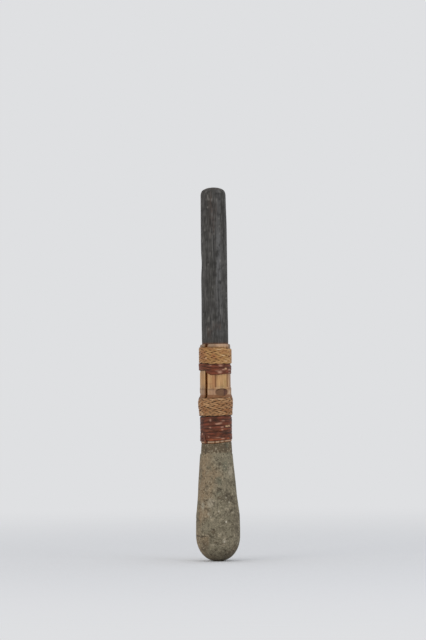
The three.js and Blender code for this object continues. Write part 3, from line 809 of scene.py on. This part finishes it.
def plaited_band(part, runs, thickness, swell, dip, rubbed, seed, bright_places, rust_places):
    """A ring plait of one closed strip that zigzags while it goes round the sleeve as often as its runs.

    The height is the arcsine of a flattened cosine, so the runs are straight with tight turns, and the band
    is narrowed where it sags. The strip rises and sinks by the cosine of every second crossing, with one
    sign going down and the other going up. On the right the band's lower edge dips, or rises if the dip is
    negative, and the painted shade between its strips is lighter there by the given share.
    """
    foot, head = node_ends(part + "_plaited_band")
    steps = int(runs * FULL_TURN * SLEEVE_RADIUS * ZIGZAG_LENGTHENING / PLAIT_STEP)
    lap = np.linspace(0, FULL_TURN, steps, endpoint=False)
    angle, swing = runs * lap, PLAIT_TURNS * lap
    half_height = (head - foot) / 2 - 0.42 * PLAIT_WIDTH
    zigzag = np.arcsin(PLAIT_SHARPNESS * np.cos(swing)) / math.asin(PLAIT_SHARPNESS)
    sag = band_sag(angle, part)
    height = (foot + head) / 2 + half_height * zigzag - sag * (1 + zigzag) / 2 + sag * (1 - zigzag) / 6
    height -= edge_dip(angle, dip) * (1 - zigzag) / 2
    crossings = runs * np.arccos(np.cos(swing)) / math.pi
    paired = np.clip(1.4 * np.cos(math.pi * (crossings / 2 + 0.25)), -1, 1)
    over = -paired * np.tanh(0.6 * runs * np.sin(swing))
    slack_left = bell(away_from(angle, -92), 0, 0.6) * ease(height, foot, foot + 10 * MM)
    fullness = swell * (ease(height, foot + 5 * MM, head - 8 * MM) + slack_left)
    fullness *= 1 - 0.7 * ease(zigzag, 0.6, 1)
    draws = np.random.default_rng(seed).normal(size=(3, PLAIT_KNOTS))
    knots = np.linspace(0, FULL_TURN, PLAIT_KNOTS)
    slack, breadth, shade = (np.interp(lap, knots, draw, period=FULL_TURN) for draw in draws)
    middle = SLEEVE_RADIUS + 0.06 * MM + 1.02 * thickness + 0.55 * thickness * over + fullness
    path = about_axis(angle, middle, height + 0.2 * MM * slack)
    width = PLAIT_WIDTH * (1 + 0.1 * breadth)
    strip = swept_strip(path, about_axis(angle, 1, 0), width, thickness, loop=True)
    # Painted shade: darker where the strip passes under and at its edges, lighter on the right by the given
    # share.
    grimy = 1 - rubbed * ease(np.sin(angle), -0.3, 0.8)[:, None]
    return ringed_piece(
        part + "_plait",
        strip,
        loop=True,
        along=along_path(path)[:, None],
        across=strip_across,
        sunk=(0.5 - 0.5 * over[:, None]) * grimy,
        edge=np.where(strip_rise < 0, 1, np.abs(strip_across) ** 3) * grimy,
        shade=0.5 + 0.25 * shade[:, None],
        bright=ease(patches(strip, bright_places), 0.3, 0.8),
        rust=ease(patches(strip, rust_places), 0.1, 0.9),
    )


lower_band = plaited_band(
    "lower", runs=17, thickness=0.76 * MM, swell=0.55 * MM, dip=LOWER_DIP, rubbed=0, seed=41,
    bright_places=(
        (-56, 147.3, 2.2, 0.9), (-14, 161.4, 4, 0.5), (12, 162, 5, 0.6), (55, 163.5, 3, 0.6),
        (150, 150, 3, 1),
    ),
    rust_places=((50, 150, 5, 3), (-46, 152, 3, 2), (170, 158, 8, 5)),
)
upper_band = plaited_band(
    "upper", runs=13, thickness=0.62 * MM, swell=0, dip=UPPER_DIP, rubbed=0.5, seed=42,
    bright_places=((12, 211.5, 4, 0.6), (30, 205.5, 3, 0.6), (-35, 203, 1.5, 1), (40, 200, 2.5, 0.7)),
    rust_places=((-52, 206, 6, 8), (-6, 205, 3, 3), (150, 206, 8, 8)),
)

# Browned rattan: a satin tan skin with fine lengthwise lines, darker at the strips' edges and where they pass
# under, which is painted shade.
# The lines are drawn about 0.35 mm wide so that they show.
LINE_LENGTH = 9 * MM
LINES_ACROSS = 3
RATTAN_PATCH = 5 * MM


def strip_lines(tree, length, across):
    """Noise on a strip's own length and breadth: a line's length, and how many lie in half the breadth."""
    ways = (add_node(tree, "Attribute", attribute_name=way, out="Fac") for way in ("along", "across"))
    on_strip = add_node(tree, "CombineXYZ", dict(zip("XY", ways)))
    drawn_out = add_node(tree, "Mapping", {"Vector": on_strip, "Scale": (1 / length, across, 1)})
    return add_node(tree, "TexNoise", {"Vector": drawn_out, "Scale": 1, "Detail": 2})


for band, node, name, base, light, rust, grime in (
    (lower_band, "lower_plaited_band", "browned rattan", "#a2764b", "#c19566", "#965f2f", "#3b220f"),
    (upper_band, "upper_plaited_band", "orange-brown rattan", "#af8148", "#c39a66", "#9c6238", "#77502d"),
):
    tree = start_finish(name, band)
    lines = strip_lines(tree, LINE_LENGTH, LINES_ACROSS)
    place = add_node(tree, "TexCoord", out="Object")
    patch = add_node(tree, "TexNoise", {"Vector": place, "Scale": 1 / RATTAN_PATCH, "Detail": 2})
    colours = layered(tree, base, [
        ("shade", 0.4, 1.1, light),
        ("shade", 0.4, -0.1, rust),
        (patch, 0.52, 0.75, rust),
        ("rust", 0, 1.3, rust),
        (lines, 0.45, 0.3, "#77512f"),
        (lines, 0.58, 0.75, light),
        ("bright", 0, 1.3, "#d9b68d"),
        ("edge", 0.2, 1.05, grime),
        ("sunk", 0.3, 0.9, grime),
    ])
    end_finish(tree, colours, lines, (0.38, 0.6), lines, strength=0.35, depth=0.1 * MM, specular=0.35)
    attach(band, "root")
    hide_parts(node)

# Lashings: flat strips of red-brown rattan, wound tight round the sleeve in level rows side by side. Each
# comes out of a split, climbs from row to row past its right side, and ends trimmed under the band above.
# A loose tail of the lower one hangs over the front split.
LASH_THICKNESS = 0.74 * MM
LASH_CLEARANCE = 0.1 * MM
START_ARC = math.radians(24)
START_NARROWING = 0.45
END_NARROWING = 0.6
CLIMB_ANGLE = math.radians(88.5)
CLIMB_ARC = math.radians(50)
TRIM_ARC = math.radians(3)
TUCK_BEND = 0.8 * MM
TUCK_RADIUS = 13.7 * MM
TAPER_ARC = math.radians(25)
LASH_LIFT = 0.8 * MM
STEPS_PER_RADIAN = 22
SHADES = 24
SHADES_PER_TURN = 2.3
lash_radius = SLEEVE_RADIUS + LASH_CLEARANCE + LASH_THICKNESS / 2
# Painted shade: the lashing strips darken at their edges and undersides, the shade between the rows.
lash_edge = np.where(strip_rise < 0, 1, np.abs(strip_across) ** 4)


def lashing(name, start, rows, first_height, pitch, dip, slack, width, places, seed):
    """A winding of one strip: its middle line goes out of a split by a quarter circle, then round in rows.

    The row is the number of climbs passed, each eased over its arc. Waves of the angle round the sleeve move
    all rows alike, and waves of the whole angle wound give each row its own drift in height and depth. The
    rows dip on the right, as the band above them does, the lower ones less, and stand off the sleeve by the
    slack on the left. The strip leaves the split narrowed, with its upper edge level, and towards its trimmed
    end it is pared away from above, so that it rests on the row below. Its places of wear, some of them
    painted highlights, and its golden, orange, red and dark places are ragged along it. Its edges carry
    painted shade between the rows, left out where its rows lie tight.
    """
    bend = np.linspace(0, math.pi / 2, 9)
    bend_angle = start + TUCK_BEND / lash_radius * (1 - np.cos(bend))
    bend_radius = lash_radius - TUCK_BEND * (1 - np.sin(bend))
    end = CLIMB_ANGLE - TRIM_ARC + FULL_TURN * (rows - 1)
    wound = np.linspace(bend_angle[-1], end, int((end - start) * STEPS_PER_RADIAN))[1:]
    straight = np.linspace(TUCK_RADIUS, bend_radius[0], 4)[:-1]
    angle = np.concatenate([np.full(straight.size, start), bend_angle, wound])
    radius = np.concatenate([straight, bend_radius, np.full(wound.size, lash_radius)])
    past = angle - CLIMB_ANGLE
    row = np.floor(past / FULL_TURN) + ease(past % FULL_TURN, 0, CLIMB_ARC)
    phases = np.random.default_rng(seed).uniform(0, FULL_TURN, 6)
    shared = 0.14 * np.sin(angle + phases[0]) + 0.1 * np.sin(2 * angle + phases[1])
    own = 0.2 * np.sin(1.37 * angle + phases[2]) + 0.15 * np.sin(3.61 * angle + phases[3])
    height = first_height + pitch * row + MM * (shared + own) - edge_dip(angle, dip)
    height += LASH_LIFT * ease(np.sin(angle), 0, 0.9) * (1 - row / (rows - 1))
    depth = 0.09 * np.sin(1.83 * angle + phases[4]) + 0.07 * np.sin(4.27 * angle + phases[5])
    radius += MM * depth * ease(angle, bend_angle[-1], bend_angle[-1] + 0.3)
    radius += slack * bell(away_from(angle, -95), 0, 0.5)
    narrowed = START_NARROWING * (1 - ease(angle, start, start + START_ARC))
    pared = END_NARROWING * ease(angle, end - TAPER_ARC, end)
    path = about_axis(angle, radius, height + (narrowed - pared) * width / 2)
    outward = np.cross(np.gradient(path, axis=0), (0, 0, 1))
    breadth = width * (1 - narrowed) * (1 - pared)
    strip = swept_strip(path, outward, breadth, LASH_THICKNESS)
    shades = np.random.default_rng(seed + 1).random(SHADES)
    shade = np.interp(angle / FULL_TURN * SHADES_PER_TURN, np.arange(SHADES), shades, period=SHADES)
    along = along_path(path)[:, None]
    on_strip = np.stack(np.broadcast_arrays(0.4 * along, strip_across * breadth[:, None] / 2, 0), axis=-1)
    ragged = 0.6 + 0.8 * clouds(on_strip, 0.9 * MM, seed + 2)
    spots = {tone: ease(patches(strip, where) * ragged, 0.1, 0.8) for tone, where in places.items()}
    return ringed_piece(
        name,
        strip,
        along=along,
        across=strip_across,
        shade=shade[:, None],
        edge=lash_edge * (1 - 0.8 * spots.pop("tight")),
        **spots,
    )


lower_places = {
    "worn": (
        (-21, 141.2, 1, 1.2), (8, 137.5, 3.2, 1), (17, 138, 2, 0.7), (-21, 134, 1.4, 0.5),
        (22, 134.2, 1.4, 0.5), (23, 131.2, 1.5, 0.6), (-59, 127.3, 0.8, 1.3), (-28, 124.6, 0.8, 0.5),
        (2, 123.7, 5, 0.4), (23, 122.8, 2.2, 0.4), (22, 140.7, 3, 0.35), (160, 131, 4, 0.9),
        (230, 138, 3, 0.8),
    ),
    "gold": ((42, 134.9, 2, 0.9), (54, 135.3, 1.8, 0.65), (-130, 124, 2, 0.8)),
    "orange": ((-20, 121.5, 3.6, 1.3), (14, 121.8, 7, 0.8), (48, 122.4, 3, 1.2), (150, 121.5, 16, 1.2)),
    "red": (
        (-15, 127.4, 5, 0.7), (0, 133.9, 9, 0.8), (18, 144, 4, 0.8), (-40, 137, 4, 1), (250, 133, 10, 0.8),
    ),
    "dark": (
        (-3, 141.4, 2.8, 2.2), (20, 125, 4.5, 1), (-5, 130.6, 9, 1.4), (38, 128.5, 5, 1.6),
        (-40, 131, 4, 1.2), (-58, 130.4, 4, 1.2), (-58, 140.2, 4, 1.2), (28, 130.6, 3, 0.8),
        (55, 130.8, 5, 1.3), (55, 125, 4, 1), (120, 125, 8, 1.5), (200, 135, 8, 1.5),
    ),
    "tight": ((22, 135.6, 4.5, 0.9), (22, 144.7, 5, 0.7)),
}
upper_places = {
    # Some of these places are painted highlights, among them the two at 60 degrees on the far right; the rest
    # are wear.
    "worn": (
        (17, 189, 2.4, 1.4), (8, 190.3, 2.5, 0.5), (-19, 195.7, 2, 0.5), (20, 195.7, 3, 0.6),
        (32, 191.2, 2, 0.5), (60, 190.9, 2.5, 0.6), (60, 187.9, 2, 0.6), (150, 191.5, 3, 0.7),
    ),
    "gold": ((41, 192.4, 1.5, 1.2),),
    "orange": ((170, 189, 8, 0.7),),
    "red": ((-4, 193.6, 5, 1.3), (-6, 188.2, 4, 0.8), (48, 189.5, 2.4, 1.4), (200, 193, 8, 1)),
    "dark": (
        (-26, 191.5, 3, 1.3), (5, 197.2, 6, 0.6), (36, 188.9, 1.8, 1), (44, 196.4, 4, 1),
        (-52, 191.4, 6, 1.4), (-46, 194.8, 6, 1.1), (110, 190, 6, 1),
    ),
    "tight": ((24, 193.4, 4, 0.9),),
}
lower_lashing = lashing(
    "lower_winding", SPLIT_ANGLE - math.pi, rows=8, first_height=121.55 * MM, pitch=3.044 * MM,
    dip=LOWER_DIP, slack=0, width=3.3 * MM, places=lower_places, seed=51,
)
upper_lashing = lashing(
    "upper_winding", SPLIT_ANGLE, rows=3, first_height=188.9 * MM, pitch=3.5 * MM,
    dip=UPPER_DIP, slack=0.7 * MM, width=3.65 * MM, places=upper_places, seed=53,
)

TAIL_TOP = 128 * MM
TAIL_FOOT = 118 * MM
TAIL_TOP_ANGLE = math.radians(-51)
TAIL_FOOT_ANGLE = math.radians(-40)
TAIL_WIDTH = 2.7 * MM
TAIL_THICKNESS = 0.6 * LASH_THICKNESS
TAIL_RINGS = 40
tail_height = np.linspace(TAIL_TOP, TAIL_FOOT, TAIL_RINGS)
tail_rise = ease(tail_height, TAIL_TOP, TAIL_TOP - 2.5 * MM)
tail_rise *= 1 - 0.5 * ease(tail_height, TAIL_FOOT + 1.8 * MM, TAIL_FOOT)
tail_radius = lash_radius - 0.5 * MM + 1.1 * MM * tail_rise
tail_angle = np.linspace(TAIL_TOP_ANGLE, TAIL_FOOT_ANGLE, TAIL_RINGS) + 0.02 * np.sin(tail_height / (2 * MM))
tail_path = about_axis(tail_angle, tail_radius, tail_height)
lower_tail = ringed_piece(
    "lower_winding_tail",
    swept_strip(tail_path, about_axis(tail_angle, 1, 0), TAIL_WIDTH, TAIL_THICKNESS),
    along=along_path(tail_path)[:, None],
    across=strip_across,
    shade=0.3,
    edge=lash_edge,
    worn=0,
    gold=0.06,
    orange=0,
    red=0.1,
    dark=0.3,
)

# Red-brown rattan: a hard, glossy maroon skin worn to pale wood in places, with fine lengthwise lines.
# The lines are drawn about 0.45 mm wide so that they show.
# Some pale worn places are painted highlights, and the dark strip edges are painted shade between the rows.
LASH_LINE_LENGTH = 11 * MM
LASH_LINES_ACROSS = 3.4
BLOTCH_LENGTH = 6 * MM
BLOTCHES_ACROSS = 0.6
tree = start_finish("red-brown rattan", lower_lashing, lower_tail, upper_lashing)
lines = strip_lines(tree, LASH_LINE_LENGTH, LASH_LINES_ACROSS)
blotch = strip_lines(tree, BLOTCH_LENGTH, BLOTCHES_ACROSS)
colours = layered(tree, "#613220", [
    ("shade", 0.35, 1, "#482a1e"),
    ("shade", 0.3, 0, "#84462a"),
    ("dark", 0, 1.2, "#382213"),
    (blotch, 0.5, 0.72, "#7d3f26"),
    ("red", 0, 1.3, "#874630"),
    ("orange", 0, 1.25, "#a0552f"),
    (lines, 0.45, 0.28, "#361b0d"),
    (lines, 0.58, 0.76, "#a86d54"),
    ("worn", 0, 1.1, "#b98d75"),
    ("gold", 0, 1.2, "#dcb388"),
    ("edge", 0.2, 1.1, "#2b1408"),
])
end_finish(tree, colours, blotch, (0.42, 0.6), lines, strength=0.35, depth=0.1 * MM, specular=0.22)
for winding, node in (
    (lower_lashing, "lower_lashing"), (lower_tail, "lower_lashing"), (upper_lashing, "upper_lashing")
):
    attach(winding, "root")
    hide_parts(node)

# Floor: a broad sheet of pale matt paper under the stone. Towards its rim it clears away into the
# surrounding light, so no edge shows.
FLOOR_RADIUS = 1.6
FLOOR_SIDES = 96
FADE_START = 0.2
FADE_END = 1.2
rim_angle = np.linspace(0, FULL_TURN, FLOOR_SIDES, endpoint=False)
floor = add_piece("paper_floor", about_axis(rim_angle, FLOOR_RADIUS, stone_foot), [range(FLOOR_SIDES)], {})
tree = start_finish("pale paper", floor)
place = add_node(tree, "TexCoord", out="Object")
reach = add_node(tree, "VectorMath", {0: place}, out="Value", operation="LENGTH")
fading = {"Value": reach, "From Min": FADE_START, "From Max": FADE_END}
fade = add_node(tree, "MapRange", fading, interpolation_type="SMOOTHSTEP")
matt = add_node(tree, "BsdfDiffuse", {"Color": colour("#e8e9eb")})
clear = add_node(tree, "BsdfTransparent")
add_node(tree, "OutputMaterial", {"Surface": add_node(tree, "MixShader", {0: fade, 1: matt, 2: clear})})

# Camera: level and square on, at the middle of the view, rolled a little because the pestle stands a
# touch out of plumb in it.
VIEW_DISTANCE = 4
VIEW_MIDDLE = (-1.81 * MM, 240.9 * MM)
VIEW_ROLL = math.radians(-0.675)
camera_data = bpy.data.cameras.new("camera")
camera_data.sensor_fit = "VERTICAL"
camera_data.sensor_height = 36
camera_data.lens = 225
camera = bpy.data.objects.new("camera", camera_data)
bpy.context.collection.objects.link(camera)
camera.matrix_world = Matrix((
    (math.cos(VIEW_ROLL), -math.sin(VIEW_ROLL), 0, VIEW_MIDDLE[0]),
    (0, 0, -1, -VIEW_DISTANCE),
    (math.sin(VIEW_ROLL), math.cos(VIEW_ROLL), 0, VIEW_MIDDLE[1]),
    (0, 0, 0, 1),
))
bpy.context.scene.camera = camera

# Light: an even pale room, with a large soft lamp on each side of the camera. The right lamp is a bit
# cooler than the left one.
LAMP_SIZE = 0.9
LAMP_POWER = 2.9
LAMPS = (
    ("left_lamp", (-1.1, -1.0, 0.75), "#fff8ee"),
    ("right_lamp", (1.1, -1.0, 0.65), "#f3f6ff"),
)
world = bpy.data.worlds.new("pale room")
world.use_nodes = True
bpy.context.scene.world = world
world.node_tree.nodes["Background"].inputs["Color"].default_value = colour("#dfe0e2")
for name, spot, tint in LAMPS:
    lamp_data = bpy.data.lights.new(name, "AREA")
    lamp_data.size = LAMP_SIZE
    lamp_data.energy = LAMP_POWER
    lamp_data.color = colour(tint)[:3]
    lamp = bpy.data.objects.new(name, lamp_data)
    bpy.context.collection.objects.link(lamp)
    lamp.location = spot
    aim = Vector((0, 0, VIEW_MIDDLE[1])) - Vector(spot)
    lamp.rotation_euler = aim.to_track_quat("-Z", "Y").to_euler()
bpy.context.scene.view_settings.view_transform = "Standard"
